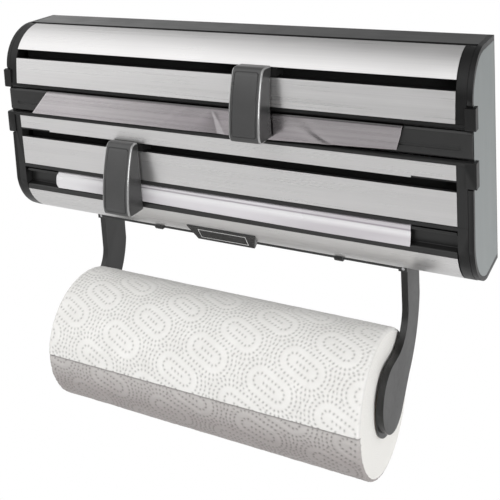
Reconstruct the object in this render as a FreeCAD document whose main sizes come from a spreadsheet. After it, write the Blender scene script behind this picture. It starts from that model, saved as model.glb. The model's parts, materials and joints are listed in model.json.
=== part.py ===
# Wall-mounted kitchen roll and foil dispenser with two cutter slides.
#
# Frame: millimetres, +Z up, +X to the right along the wall, the wall plane at
# Y = 0 and the front of the housing towards -Y.  The origin is on the wall
# plane, midway between the two wall-screw holes.  Heights are given as a drop
# below the housing top, depths as Y values.
import FreeCAD, Part
import math
import os
import Sketcher

doc = FreeCAD.newDocument("dispenser")

# ---------------------------------------------------------------- dimensions
# alias, value, note
SIZES = [
    ("half_width", 194.0, "outer half width over the cheeks"),
    ("cheek_in", 190.5, "inner face of a cheek"),
    ("rim_out", 190.3, "outer face of a cover rim"),
    ("skin_half", 183.2, "half length of the steel skins"),
    ("top_above", 30.0, "housing top above the wall-screw line"),
    ("height", 163.3, "housing height"),
    ("wall", 3.0, "moulded wall thickness"),
    ("top_y", -30.4, "front end of the flat top"),
    ("nose_y", -63.35, "front face where the top curve ends"),
    ("nose_drop", 32.5, "drop of that point below the top"),
    ("nose_rad", 33.0, "top curve radius"),
    ("belly_y", -65.8, "front face where the bottom curve starts"),
    ("belly_drop", 127.5, "drop of that point below the top"),
    ("belly_rad", 39.2, "bottom curve radius"),
    ("keel_y", -33.0, "front end of the flat underside"),
    ("top_wall_y", -29.4, "front edge of the fixed top wall"),
    ("upper_pivot_y", -34.0, "upper cover pivot, depth"),
    ("upper_pivot_drop", 4.2, "upper cover pivot, drop"),
    ("lower_pivot_y", -50.0, "lower cover pivot, depth"),
    ("lower_pivot_drop", 148.0, "lower cover pivot, drop"),
    ("pin_rad", 1.5, "cover hinge pin radius"),
    ("pin_hole", 1.55, "cover hinge socket radius"),
    ("upper_slot_top", 16.6, "upper slot, top edge"),
    ("upper_slot_bottom", 23.4, "upper slot, bottom edge"),
    ("upper_skin_bottom", 44.2, "upper front skin, bottom edge"),
    ("upper_edge", 48.1, "upper cover, lower edge"),
    ("strip_top", 49.4, "middle strip, top"),
    ("strip_bottom", 68.0, "middle strip, bottom"),
    ("lower_edge", 69.3, "lower cover, top edge"),
    ("lower_skin_top", 71.8, "lower strip skin, top edge"),
    ("lower_slot_top", 83.5, "lower slot, top edge"),
    ("lower_slot_bottom", 90.1, "lower slot, bottom edge"),
    ("lower_skin_bottom", 113.5, "lower front skin, bottom edge"),
    ("lower_lip", 117.0, "lower cover, bottom edge"),
    ("apron_half", 182.7, "half length of the apron"),
    ("apron_top", 118.5, "apron, top edge"),
    ("apron_skin", 136.1, "bottom skin, top edge"),
    ("grip_half", 12.3, "half width of a slider grip"),
    ("neck_half", 16.5, "half width of a slider carriage"),
    ("upper_slide_x", 40.2, "upper slider centre"),
    ("lower_slide_x", -76.6, "lower slider centre"),
    ("foil_y", -25.0, "foil roll axis, depth"),
    ("foil_drop", 28.0, "foil roll axis, drop"),
    ("foil_rad", 15.5, "foil roll radius"),
    ("foil_core_out", 13.4, "foil core outer radius"),
    ("foil_core_in", 12.0, "foil core bore radius"),
    ("film_y", -26.0, "film roll axis, depth"),
    ("film_drop", 100.0, "film roll axis, drop"),
    ("film_rad", 21.0, "film roll radius"),
    ("film_core_out", 16.4, "film core outer radius"),
    ("film_core_in", 15.0, "film core bore radius"),
    ("web_half", 150.0, "half width of foil and film"),
    ("paper_y", -68.5, "kitchen roll axis, depth"),
    ("paper_drop", 252.0, "kitchen roll axis, drop"),
    ("paper_rad", 51.4, "kitchen roll radius"),
    ("paper_half", 130.0, "half length of the kitchen roll"),
    ("paper_core_out", 21.4, "kitchen roll core outer radius"),
    ("paper_core_in", 19.8, "kitchen roll core bore radius"),
    ("hub_rad", 18.4, "holder hub radius"),
    ("arm_in", 132.0, "inner face of a holder arm"),
    ("arm_thick", 5.0, "holder arm thickness"),
    ("arm_pivot_x", 134.5, "holder arm pivot, across"),
    ("arm_pivot_drop", 167.2, "holder arm pivot, drop"),
    ("paddle_y", -67.0, "arm paddle centre, depth"),
    ("paddle_drop", 246.0, "arm paddle centre, drop"),
    ("paddle_rad", 24.6, "arm paddle radius"),
    ("screw_x", 165.0, "wall-screw holes, half spacing"),
    ("screw_rad", 2.6, "wall-screw hole radius"),
]


class Dim:
    """A number with the sheet expression that yields it."""

    def __init__(self, value, text=None, bound=False):
        self.value = float(value)
        self.text = text or "%.5g" % self.value
        self.bound = bound

    def _combine(self, other, value, sign):
        text = "(%s %s %s)" % (self.text, sign, other.text)
        return Dim(value, text, self.bound or other.bound)

    def __add__(self, other):
        other = as_dim(other)
        return self._combine(other, self.value + other.value, "+")

    def __sub__(self, other):
        other = as_dim(other)
        return self._combine(other, self.value - other.value, "-")

    def __mul__(self, other):
        other = as_dim(other)
        return self._combine(other, self.value * other.value, "*")

    def __neg__(self):
        return Dim(0) - self


def as_dim(number):
    return number if isinstance(number, Dim) else Dim(number)


class SizeSet:
    """Holds one Dim per sheet alias."""


size = SizeSet()
sheet = doc.addObject("Spreadsheet::Sheet", "Sizes")
for row, (alias, value, note) in enumerate(SIZES, start=1):
    sheet.set("A%d" % row, note)
    sheet.set("B%d" % row, "%g" % value)
    sheet.setAlias("B%d" % row, alias)
    setattr(size, alias, Dim(value, "Sizes." + alias, True))
doc.recompute()


# ------------------------------------------------------------ sketch helpers
def bind(obj, prop, dim):
    if dim.bound:
        obj.setExpression(prop, dim.text)


def attach(part, sketch, role, offset):
    plane = [f for f in part.Origin.OriginFeatures if f.Role == role][0]
    sketch.AttachmentSupport = [(plane, "")]
    sketch.MapMode = "FlatFace"
    base = FreeCAD.Vector(0, 0, offset.value)
    sketch.AttachmentOffset = FreeCAD.Placement(base, FreeCAD.Rotation())
    bind(sketch, "AttachmentOffset.Base.z", offset)


def point_rows(geo, pos, point, tag):
    """Constraint rows that place a sketch point; zero puts it on an axis."""
    rows = []
    for axis, axis_line, dim in zip("XY", (-2, -1), point):
        if abs(dim.value) < 1e-9:
            on_axis = Sketcher.Constraint("PointOnObject", geo, pos, axis_line)
            rows.append((on_axis, None, None))
        else:
            distance = Sketcher.Constraint("Distance" + axis, -1, 1, geo, pos, dim.value)
            rows.append((distance, tag + axis.lower(), dim))
    return rows


def radius_row(geo, radius):
    return Sketcher.Constraint("Radius", geo, radius.value), "r%d" % geo, radius


def add_constraints(sketch, rows):
    """Add (constraint, name, dimension) rows and bind the named ones."""
    first = sketch.ConstraintCount
    sketch.addConstraint([row[0] for row in rows])
    for i, (_, name, dim) in enumerate(rows):
        if name:
            sketch.renameConstraint(first + i, name)
            bind(sketch, "Constraints." + name, dim)


def arc_between(start, end, radius, turn):
    """The arc from start to end; turn is 1 anticlockwise, -1 clockwise."""
    chord = end - start
    half = chord.Length / 2.0
    # never smaller than the half chord, so that a centre exists
    radius = max(radius, half * 1.000001)
    rise = math.sqrt(max(radius * radius - half * half, 0.0))
    left = FreeCAD.Vector(-chord.y, chord.x, 0).normalize()
    centre = (start + end) * 0.5 + left * (rise * turn)
    first, last = (start, end) if turn > 0 else (end, start)
    angle0 = math.atan2(first.y - centre.y, first.x - centre.x)
    angle1 = math.atan2(last.y - centre.y, last.x - centre.x)
    if angle1 <= angle0:
        angle1 += 2 * math.pi
    circle = Part.Circle(centre, FreeCAD.Vector(0, 0, 1), radius)
    return Part.ArcOfCircle(circle, angle0, angle1)


def draw_outline(sketch, points):
    """Closed outline; an entry with a radius and turn is reached by an arc,
    and the first entry is also where the last segment ends."""
    count = len(points)
    geometry, ends, radii = [], [], []
    for i in range(count):
        x0, y0 = points[i][:2]
        x1, y1, *arc = points[(i + 1) % count]
        start = FreeCAD.Vector(x0.value, y0.value, 0)
        end = FreeCAD.Vector(x1.value, y1.value, 0)
        if arc:
            radius, turn = as_dim(arc[0]), arc[1]
            geometry.append(arc_between(start, end, radius.value, turn))
            ends.append((1, 2) if turn > 0 else (2, 1))
            radii.append(radius_row(i, radius))
        else:
            geometry.append(Part.LineSegment(start, end))
            ends.append((1, 2))
    sketch.addGeometry(geometry, False)
    rows = []
    for i in range(count):
        j = (i + 1) % count
        joint = Sketcher.Constraint("Coincident", i, ends[i][1], j, ends[j][0])
        rows.append((joint, None, None))
    for i in range(count):
        rows += point_rows(i, ends[i][0], points[i][:2], "p%d" % i)
    add_constraints(sketch, rows + radii)


def draw_circles(sketch, circles):
    rows = []
    for i, (x, y, radius) in enumerate(circles):
        radius = as_dim(radius)
        centre = FreeCAD.Vector(x.value, y.value, 0)
        circle = Part.Circle(centre, FreeCAD.Vector(0, 0, 1), radius.value)
        sketch.addGeometry(circle, False)
        rows += point_rows(i, 3, (x, y), "c%d" % i)
        rows.append(radius_row(i, radius))
    add_constraints(sketch, rows)


# ----------------------------------------------------------- feature helpers
def extrude(part, tag, role, offset, length, draw, entries, cut):
    """Pad or pocket a sketch whose entries start with (across, drop)."""
    name = part.Name + "_" + tag
    sketch = part.newObject("Sketcher::SketchObject", name + "_sk")
    attach(part, sketch, role, offset)
    draw(sketch, [(as_dim(a), size.top_above - drop, *rest) for a, drop, *rest in entries])
    feature = part.newObject("PartDesign::Pocket" if cut else "PartDesign::Pad", name)
    feature.Profile = sketch
    feature.Length = length.value
    bind(feature, "Length", length)
    if cut:
        feature.Reversed = True
    sketch.Visibility = False
    return feature


def along_x(part, tag, x0, x1, draw, entries, cut):
    x0, x1 = as_dim(x0), as_dim(x1)
    return extrude(part, tag, "YZ_Plane", x0, x1 - x0, draw, entries, cut)


def along_y(part, tag, y0, y1, draw, entries, cut):
    """From y0 forward to y1; the XZ plane faces -Y."""
    y0, y1 = as_dim(y0), as_dim(y1)
    return extrude(part, tag, "XZ_Plane", -y0, y0 - y1, draw, entries, cut)


def profile(part, tag, x0, x1, points, cut=False):
    """A (y, drop[, radius, turn]) outline carried along +X from x0 to x1."""
    return along_x(part, tag, x0, x1, draw_outline, points, cut)


def box(part, tag, x0, x1, y0, y1, drop0, drop1, cut=False):
    """A block from x0 to x1, y0 (rear) to y1 (front), drop0 to drop1."""
    corners = [(y0, drop0), (y1, drop0), (y1, drop1), (y0, drop1)]
    profile(part, tag, x0, x1, corners, cut)


def round_x(part, tag, x0, x1, y, drop, *radii, cut=False):
    """A cylinder, or a tube when two radii are given, along +X."""
    along_x(part, tag, x0, x1, draw_circles, [(y, drop, r) for r in radii], cut)


def round_y(part, tag, y0, y1, x, drop, radius, cut=False):
    """A cylinder along -Y from y0 forward to y1."""
    along_y(part, tag, y0, y1, draw_circles, [(x, drop, radius)], cut)


SIDES = (("l", -1), ("r", 1))
NAMED_SIDES = (("left", -1), ("right", 1))


def span(sign, inner, outer):
    """X range from inner to outer on the right, or mirrored on the left."""
    return (inner, outer) if sign > 0 else (-outer, -inner)


def about(centre, half):
    return centre - half, centre + half


parts = []


def new_part(label):
    part = doc.addObject("PartDesign::Body", label)
    part.Label = label
    parts.append(part)
    return part


# ------------------------------------------------------------------- housing
SHELL_HALF = size.cheek_in - 0.1
# x, drop of the screws between back shell and cheeks
CHEEK_SCREW_X = 187.0
CHEEK_SCREW_DROPS = (24, 140)
CHEEK_SCREWS = [(sign * CHEEK_SCREW_X, drop) for drop in CHEEK_SCREW_DROPS for sign in (-1, 1)]

part = new_part("back_shell")
profile(part, "section", -SHELL_HALF, SHELL_HALF, [
    (0, 0), (size.top_wall_y, 0), (size.top_wall_y, 2.4), (-size.wall, size.wall),
    (-size.wall, size.height - size.wall), (size.keel_y, size.height - 2.6),
    (size.keel_y, size.height), (0, size.height)])
through_y = -size.wall - 1
for tag, sign in SIDES:
    round_y(part, "wallhole_" + tag, 1, through_y, size.screw_x * sign, size.top_above,
            size.screw_rad, cut=True)
for i, (x, drop) in enumerate(CHEEK_SCREWS):
    round_y(part, "fix_%d" % i, 1, through_y, x, drop, 1.7, cut=True)
    round_y(part, "seat_%d" % i, 1, -1.6, x, drop, 3.2, cut=True)

# Side outlines of the cheeks: y, drop[, radius, turn]
CHEEK_OUTLINE = [
    (0, 0), (size.top_y, 0), (size.nose_y, size.nose_drop, size.nose_rad, 1),
    (size.belly_y, size.belly_drop), (size.keel_y, size.height, size.belly_rad, 1),
    (0, size.height)]
SEAT_OUTLINE = [
    (-0.8, 3.4), (-30.6, 3.4), (-60.3, 33.0, 29.8, 1), (-62.6, 127.0),
    (-34.0, 160.2, 36.0, 1), (-0.8, 160.2)]
# the steel inlay stops short of the tab notches
INLAY_OUTLINE = [
    (-0.95, 3.55), (-30.6, 3.55), (-60.15, 33.0, 29.65, 1), (-60.5, 50.0), (-60.9, 68.0),
    (-62.45, 127.0), (-34.0, 160.05, 35.85, 1), (-0.95, 160.05)]
# front edge notches for the finger tabs of the covers
CHEEK_NOTCHES = [
    ("u", [(-70, 31.2), (-64.0, 31.2), (-62.2, 32.6), (-62.2, 49.0), (-70, 49.0)]),
    ("l", [(-70, 69.0), (-62.2, 69.0), (-62.2, 87.6), (-70, 88.6)]),
    ("m", [(-70, 48.9), (-61.6, 48.9), (-61.6, 69.1), (-70, 69.1)]),
]


def cheek(name, sign):
    """D-shaped end cheek with rear flange, tab notches and hinge sockets."""
    part = new_part(name + "_cheek")
    profile(part, "plate", *span(sign, size.cheek_in, size.half_width), CHEEK_OUTLINE)
    box(part, "flange", *span(sign, 182.5, size.cheek_in + 0.5), -3.1, -13.0, 16, 150)
    # shallow seat for the steel inlay
    seat_x = span(sign, size.half_width - 0.62, size.half_width + 1)
    profile(part, "seat", *seat_x, SEAT_OUTLINE, cut=True)
    notch_x = span(sign, size.cheek_in - 1, size.half_width + 1)
    for tag, points in CHEEK_NOTCHES:
        profile(part, "notch_" + tag, *notch_x, points, cut=True)
    socket_x = span(sign, size.cheek_in - 1, size.cheek_in + 2.4)
    round_x(part, "socket_u", *socket_x, size.upper_pivot_y, size.upper_pivot_drop,
            size.pin_hole, cut=True)
    round_x(part, "socket_l", *socket_x, size.lower_pivot_y, size.lower_pivot_drop,
            size.pin_hole, cut=True)
    for i, drop in enumerate(CHEEK_SCREW_DROPS):
        round_y(part, "pilot_%d" % i, -2, -11.5, sign * CHEEK_SCREW_X, drop, 1.3, cut=True)


def cheek_skin(name, sign):
    part = new_part(name + "_cheek_skin")
    profile(part, "plate", *span(sign, size.half_width - 0.6, size.half_width), INLAY_OUTLINE)


for name, sign in NAMED_SIDES:
    cheek(name, sign)
    cheek_skin(name, sign)

# steel screws that hold the cheeks to the back shell
part = new_part("cheek_screws")
for i, (x, drop) in enumerate(CHEEK_SCREWS):
    round_y(part, "head_%d" % i, -0.3, -1.5, x, drop, 3.0)
    round_y(part, "shank_%d" % i, -1.4, -10.5, x, drop, 1.28)

# beam between the covers, with a shallow groove along its front
STRIP_FACE = [(-62.3, size.strip_top), (-63.2, 51.0), (-63.4, 66.4), (-62.6, size.strip_bottom)]
part = new_part("middle_strip")
profile(part, "section", -SHELL_HALF, SHELL_HALF, STRIP_FACE + [
    (-48.0, size.strip_bottom), (-48.0, 65.6), (-60.6, 65.6), (-60.4, 51.8),
    (-52.0, 51.8), (-52.0, size.strip_top)])
for tag, sign in SIDES:
    profile(part, "end_" + tag, *span(sign, size.cheek_in - 0.6, size.half_width - 0.3),
            STRIP_FACE + [(-61.75, size.strip_bottom), (-61.75, size.strip_top)])
profile(part, "groove", -186.0, 186.0,
        [(-66.0, 60.0), (-62.5, 60.2), (-62.5, 62.4), (-66.0, 62.6)], cut=True)

# apron below the lower cover: lip, recess and the curved lower front
part = new_part("apron")
profile(part, "section", -size.apron_half, size.apron_half, [
    (-63.4, size.apron_top), (-63.9, 119.2), (-63.9, 120.6), (-59.4, 121.2), (-59.2, 131.0),
    (-64.2, 131.6), (-65.2, 132.4), (-65.0, 135.9), (-64.4, 136.3), (-33.6, 162.6, 38.4, 1),
    (-33.6, 160.0), (-61.6, 134.8, 35.6, -1), (-56.4, 132.6), (-56.6, size.apron_top)])

part = new_part("bottom_skin")
profile(part, "sheet", -size.apron_half, size.apron_half, [
    (-65.05, size.apron_skin), (-33.4, 163.2, 39.0, 1), (-33.4, 162.7),
    (-64.5, 136.4, 38.5, -1)])

# plain badge plate that hangs from the lower front, narrowed by slanted trims
part = new_part("badge_plate")
profile(part, "wedge", -30.0, 30.0, [
    (-59.6, 147.34, 39.12, -1), (-59.85, 148.1), (-52.2, 161.6), (-50.4, 160.9),
    (-50.32, 156.57)])
BADGE_TRIM = [(34, 160), (30.4, 147.0), (24.4, 162.4), (34, 163)]  # x, drop
for tag, sign in SIDES:
    corners = [(sign * x, drop) for x, drop in BADGE_TRIM]
    along_y(part, "trim_" + tag, -45.0, -62.0, draw_outline, corners, cut=True)

# small wedge-shaped catches under the lower front
part = new_part("skin_catches")
for i, x in enumerate((-63.0, 92.0)):
    profile(part, "catch_%d" % i, *about(x, 3.4), [
        (-50.4, 156.75), (-51.0, 158.9), (-49.6, 160.8), (-46.6, 160.8), (-46.0, 159.35)])


# --------------------------------------------------------- roll hubs and rolls
def roll_hubs(label, y, drop, bore, stub_length):
    """Posts from the back with discs and stubs that enter the roll core."""
    part = new_part(label)
    for tag, sign in SIDES:
        post_x = span(sign, 150.9, 154.4)
        box(part, "post_" + tag, *post_x, -3.1, y, drop - 7.0, drop + 7.0)
        round_x(part, "disc_" + tag, *post_x, y, drop, bore + 0.8)
        stub_x = span(sign, 151.0 - stub_length, 151.0)
        round_x(part, "stub_" + tag, *stub_x, y, drop, bore - 0.06)


def roll(name, y, drop, half, radius, core_out, core_in, overhang):
    """A wound roll and its core, which sticks out at both ends."""
    part = new_part(name + "_roll")
    round_x(part, "tube", -half, half, y, drop, radius, core_out + 0.02)
    core_half = half + overhang
    part = new_part(name + "_core")
    round_x(part, "tube", -core_half, core_half, y, drop, core_out, core_in)


roll_hubs("foil_hubs", size.foil_y, size.foil_drop, size.foil_core_in, stub_length=8.0)
roll_hubs("film_hubs", size.film_y, size.film_drop, size.film_core_in, stub_length=9.0)
roll("foil", size.foil_y, size.foil_drop, size.web_half, size.foil_rad,
     size.foil_core_out, size.foil_core_in, overhang=0.4)
roll("film", size.film_y, size.film_drop, size.web_half, size.film_rad,
     size.film_core_out, size.film_core_in, overhang=0.4)
roll("paper", size.paper_y, size.paper_drop, size.paper_half, size.paper_rad,
     size.paper_core_out, size.paper_core_in, overhang=0.2)

# free end of the foil over the middle strip
part = new_part("foil_sheet")
profile(part, "band", -171.0, 150.0, [
    (-58.0, 48.55), (-64.1, 48.6), (-65.1, 50.2), (-65.5, 68.4),
    (-65.25, 68.4), (-64.85, 50.3), (-63.95, 48.85), (-58.0, 48.8)])

# free end of the film over the recess
part = new_part("film_sheet")
profile(part, "band", -152.0, 150.5, [
    (-57.0, 117.72), (-63.6, 117.72), (-64.35, 118.25), (-64.6, 122.0), (-65.0, 127.5),
    (-65.75, 132.7), (-65.45, 132.75), (-64.7, 127.6), (-64.3, 122.1), (-64.08, 118.45),
    (-63.45, 118.02), (-57.0, 118.02)])

# -------------------------------------------------------------------- covers
TAB_OUT = 196.4  # outer face of a finger tab


def cover_frame(label, shell, rim, slot, tab_top, tab_front, tab_rear_y, pivot):
    """Cover with end rims, a slider slot, finger tabs and hinge pin holes."""
    part = new_part(label)
    profile(part, "shell", -size.rim_out, size.rim_out, shell)
    for tag, sign in SIDES:
        profile(part, "rim_" + tag, *span(sign, size.skin_half + 0.2, size.rim_out), rim)
    box(part, "slot", -size.skin_half, size.skin_half, -45.0, -80.0, *slot, cut=True)

    def tab_outline(rear_y):
        return [(rear_y, tab_top)] + tab_front + [(rear_y, tab_front[-1][1])]

    # the bridge passes in front of the cheek, the tab reaches back outside it
    for tag, sign in SIDES:
        profile(part, "bridge_" + tag, *span(sign, size.rim_out - 1, TAB_OUT),
                tab_outline(-62.7))
        profile(part, "tab_" + tag, *span(sign, size.half_width + 0.3, TAB_OUT),
                tab_outline(tab_rear_y))
    for tag, sign in SIDES:
        round_x(part, "pinhole_" + tag, *span(sign, 180.0, size.rim_out + 1), *pivot,
                size.pin_rad + 0.03, cut=True)


def hinge_pins(label, pivot):
    part = new_part(label)
    for tag, sign in SIDES:
        round_x(part, tag, *span(sign, 184.0, size.cheek_in + 2.2), *pivot, size.pin_rad)


def skin_length_part(label, tag, points):
    """A part with one profile as long as the steel skins."""
    part = new_part(label)
    profile(part, tag, -size.skin_half, size.skin_half, points)
    return part


# upper cover
UPPER_PIVOT = (size.upper_pivot_y, size.upper_pivot_drop)
cover_frame(
    "upper_cover_frame",
    shell=[
        (-34.0, 0.2, 4.0, 1), (-36.5, 1.05), (-62.65, 30.0, 32.4, 1), (-64.45, 44.3),
        (-65.1, 44.5), (-65.0, 46.4), (-63.6, size.upper_edge), (-60.9, size.upper_edge),
        (-60.9, 44.0), (-60.2, 33.0), (-38.6, 4.2, 29.8, -1), (-34.0, 8.2),
        (-30.0, 4.2, 4.0, 1)],
    rim=[
        (-34.0, 0.2), (size.nose_y, size.nose_drop, size.nose_rad, 1), (-64.2, 44.0),
        (-64.0, size.upper_edge), (-56.4, size.upper_edge), (-55.6, 33.0),
        (-41.0, 10.4, 25.2, -1), (-34.0, 8.2), (-33.0, 4.2)],
    slot=(size.upper_slot_top, size.upper_slot_bottom),
    tab_top=33.0,
    tab_front=[(-64.9, 33.6), (-65.4, 47.0), (-65.0, size.upper_edge)],
    tab_rear_y=-58.4,
    pivot=UPPER_PIVOT)
skin_length_part("upper_skin_top", "sheet", [
    (-34.6, 0.05), (-59.75, size.upper_slot_top - 0.1, 33.3, 1),
    (-59.2, size.upper_slot_top), (-34.6, 0.25, 32.75, -1)])
skin_length_part("upper_skin_front", "sheet", [
    (-61.72, size.upper_slot_bottom + 0.1), (-62.5, size.upper_slot_bottom + 0.1),
    (-63.6, 30.6), (-65.15, size.upper_skin_bottom), (-64.55, size.upper_skin_bottom),
    (-62.85, 30.2)])
skin_length_part("upper_rail", "channel", [
    (-49.2, 10.4), (-46.5, 10.4), (-46.5, 30.0), (-59.4, 30.0),
    (-59.2, 28.0), (-48.3, 28.0), (-48.3, 12.2), (-49.2, 12.2)])
hinge_pins("upper_hinge_pins", UPPER_PIVOT)

# lower cover
LOWER_PIVOT = (size.lower_pivot_y, size.lower_pivot_drop)
cover_frame(
    "lower_cover_frame",
    shell=[
        (-64.9, size.lower_edge), (-65.5, 69.8), (-65.5, 71.6), (-64.8, 71.7),
        (-64.9, 113.6), (-65.6, 113.6), (-65.6, 116.4), (-65.0, size.lower_lip),
        (-62.9, size.lower_lip), (-62.4, 113.0), (-62.0, 72.0), (-61.4, size.lower_edge)],
    rim=[
        (-64.8, size.lower_edge), (size.belly_y, size.belly_drop),
        (-44.0, 160.1, size.belly_rad, 1), (-42.0, 156.0), (-42.4, 144.0), (-47.0, 140.6),
        (-57.6, 134.0), (-57.0, size.lower_edge)],
    slot=(size.lower_slot_top, size.lower_slot_bottom),
    tab_top=size.lower_edge,
    tab_front=[(-65.2, size.lower_edge), (-65.7, 70.4), (-65.9, 85.6), (-65.4, 86.8)],
    tab_rear_y=-58.2,
    pivot=LOWER_PIVOT)
part = skin_length_part("lower_skin_strip", "sheet", [
    (-65.4, size.lower_skin_top), (-65.4, 82.2), (-64.86, 82.2),
    (-64.86, size.lower_skin_top)])
profile(part, "step", -153.0, 153.0, [
    (-65.4, 82.1), (-65.4, size.lower_slot_top), (-64.86, size.lower_slot_top),
    (-64.86, 82.1)])
skin_length_part("lower_skin_front", "sheet", [
    (-65.45, size.lower_slot_bottom), (-65.5, size.lower_skin_bottom),
    (-64.95, size.lower_skin_bottom), (-64.9, size.lower_slot_bottom)])
skin_length_part("lower_rail", "channel", [
    (-61.8, 77.6), (-50.6, 77.6), (-50.6, 96.0), (-61.8, 96.0),
    (-61.8, 94.2), (-52.4, 94.2), (-52.4, 79.4), (-61.8, 79.4)])
hinge_pins("lower_hinge_pins", LOWER_PIVOT)


# ------------------------------------------------------------- cutter sliders
HOLDER_HALF = 10.2  # half width of blade holder and carriage tongue


def slider_grip(name, centre, grip, hollow, seat):
    """Hollow grip with bevelled front edges and a seat for its cap."""
    part = new_part(name + "_slider_grip")
    x0, x1 = about(centre, size.grip_half)
    block = profile(part, "block", x0, x1, grip)
    doc.recompute()
    # the long curved front edges of the two end faces
    front = []
    for i, edge in enumerate(block.Shape.Edges, start=1):
        bounds = edge.BoundBox
        on_end = min(abs(bounds.XMin - x.value) for x in (x0, x1)) < 1e-3
        flat = bounds.XLength < 1e-3
        if flat and on_end and bounds.ZLength > 30.0 and bounds.YMin < -80.0:
            front.append("Edge%d" % i)
    bevel = part.newObject("PartDesign::Chamfer", name + "_grip_bevel")
    bevel.Base = (block, front)
    bevel.Size = 0.9
    doc.recompute()
    profile(part, "hollow", *about(centre, size.grip_half - 2.0), hollow, cut=True)
    profile(part, "cap_seat", *about(centre, 9.36), seat, cut=True)


def slider_carriage(name, centre, slot_drop, shoe_y, neck_front, tongue_y):
    """Shoe behind the slot, neck through it and tongue into the grip."""
    part = new_part(name + "_slider_carriage")
    neck_x = about(centre, size.neck_half)
    above, below = about(slot_drop, 2.6)
    box(part, "shoe", *neck_x, shoe_y + 3.0, shoe_y, *about(slot_drop, 5.0))
    profile(part, "neck", *neck_x, [
        (shoe_y + 0.2, above), (neck_front[0], above),
        (neck_front[1], below), (shoe_y + 0.2, below)])
    box(part, "tongue", *about(centre, HOLDER_HALF), neck_front[0] + 0.8, tongue_y,
        *about(slot_drop, 2.0))


def blade_holder(name, centre, drop):
    """Two halves beside the blade, joined at the front by a bridge."""
    part = new_part(name + "_blade_holder")
    drops = (drop, drop + 12.0)
    box(part, "left", centre - HOLDER_HALF, centre - 0.35, -67.5, -75.0, *drops)
    box(part, "right", centre + 0.35, centre + HOLDER_HALF, -67.5, -75.0, *drops)
    box(part, "bridge", *about(centre, 1.0), -73.4, -75.0, *drops)


def cutter_blade(name, centre, drop):
    part = new_part(name + "_cutter_blade")
    profile(part, "blade", *about(centre, 0.25), [
        (-73.2, drop + 1.0), (-73.2, drop + 11.0), (-67.2, drop + 11.0),
        (-66.6, drop + 8.0), (-68.4, drop + 1.0)])


def slider(name, centre, grip, hollow, seat, cap, slot_drop, shoe_y, neck_front, tongue_y,
           blade_drop):
    slider_grip(name, centre, grip, hollow, seat)
    profile(new_part(name + "_slider_cap"), "plate", *about(centre, 9.3), cap)
    slider_carriage(name, centre, slot_drop, shoe_y, neck_front, tongue_y)
    blade_holder(name, centre, blade_drop)
    cutter_blade(name, centre, blade_drop)


slider(
    "upper", size.upper_slide_x,
    grip=[
        (-66.7, 66.4), (-66.7, 46.0), (-64.9, 30.5), (-63.3, 23.6), (-61.4, 16.8),
        (-61.3, 15.2), (-69.8, 14.6), (-73.0, 15.2), (-74.8, 17.4), (-85.2, 60.6, 125.0, 1),
        (-84.4, 64.6), (-82.2, 66.4)],
    hollow=[
        (-60.0, 64.4), (-60.0, 17.7), (-69.0, 17.2), (-72.0, 20.6),
        (-82.2, 60.0, 122.0, 1), (-81.6, 64.4)],
    seat=[
        (-75.0, 19.35), (-84.95, 60.2, 125.0, 1), (-83.54, 63.46), (-85.8, 64.2),
        (-88.8, 60.2), (-79.6, 17.8)],
    cap=[
        (-75.65, 19.2), (-85.55, 60.2, 125.6, 1), (-84.2, 63.6), (-83.6, 63.4),
        (-85.0, 60.2), (-75.05, 19.4, 125.0, -1)],
    slot_drop=(size.upper_slot_top + size.upper_slot_bottom) * 0.5,
    shoe_y=-53.2, neck_front=(-61.5, -62.94), tongue_y=-68.6, blade_drop=50.0)
slider(
    "lower", size.lower_slide_x,
    grip=[
        (-66.9, 137.6), (-66.9, 90.0), (-66.75, 84.0), (-67.4, 82.4), (-70.0, 82.0),
        (-73.2, 82.6), (-75.0, 84.9), (-85.8, 131.0, 130.0, 1), (-85.0, 135.8),
        (-82.8, 137.6)],
    hollow=[
        (-60.0, 135.4), (-60.0, 84.2), (-69.4, 84.0), (-72.4, 87.4),
        (-82.7, 130.4, 127.0, 1), (-82.2, 135.4)],
    seat=[
        (-75.35, 87.15), (-85.42, 130.4, 130.0, 1), (-84.08, 134.06), (-86.4, 134.8),
        (-89.4, 130.4), (-80.0, 85.6)],
    cap=[
        (-76.0, 87.0), (-86.05, 130.4, 130.6, 1), (-84.75, 134.2), (-84.15, 134.0),
        (-85.45, 130.4), (-75.4, 87.2, 130.0, -1)],
    slot_drop=(size.lower_slot_top + size.lower_slot_bottom) * 0.5,
    shoe_y=-58.4, neck_front=(-66.6, -66.8), tongue_y=-69.4, blade_drop=118.0)

# ------------------------------------------------------- kitchen roll holder
PIVOT_BORE = 1.25

part = new_part("holder_bar")
bar_top = size.height + 0.2
lug_drops = (bar_top, size.height + 6.0)
box(part, "bar", -131.4, 131.4, -1.9, -33.4, bar_top, size.height + 4.6)
for tag, sign in SIDES:
    lug_x = span(sign, 131.0, 137.4)
    box(part, "rear_lug_" + tag, *lug_x, -1.9, -3.9, *lug_drops)
    box(part, "front_lug_" + tag, *lug_x, -31.5, -33.4, *lug_drops)
for tag, sign in SIDES:
    round_y(part, "lughole_" + tag, 1, -40.0, size.arm_pivot_x * sign, size.arm_pivot_drop,
            PIVOT_BORE, cut=True)

part = new_part("arm_pins")
for tag, sign in SIDES:
    round_y(part, tag, -2.0, -33.2, size.arm_pivot_x * sign, size.arm_pivot_drop, 1.2)


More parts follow.
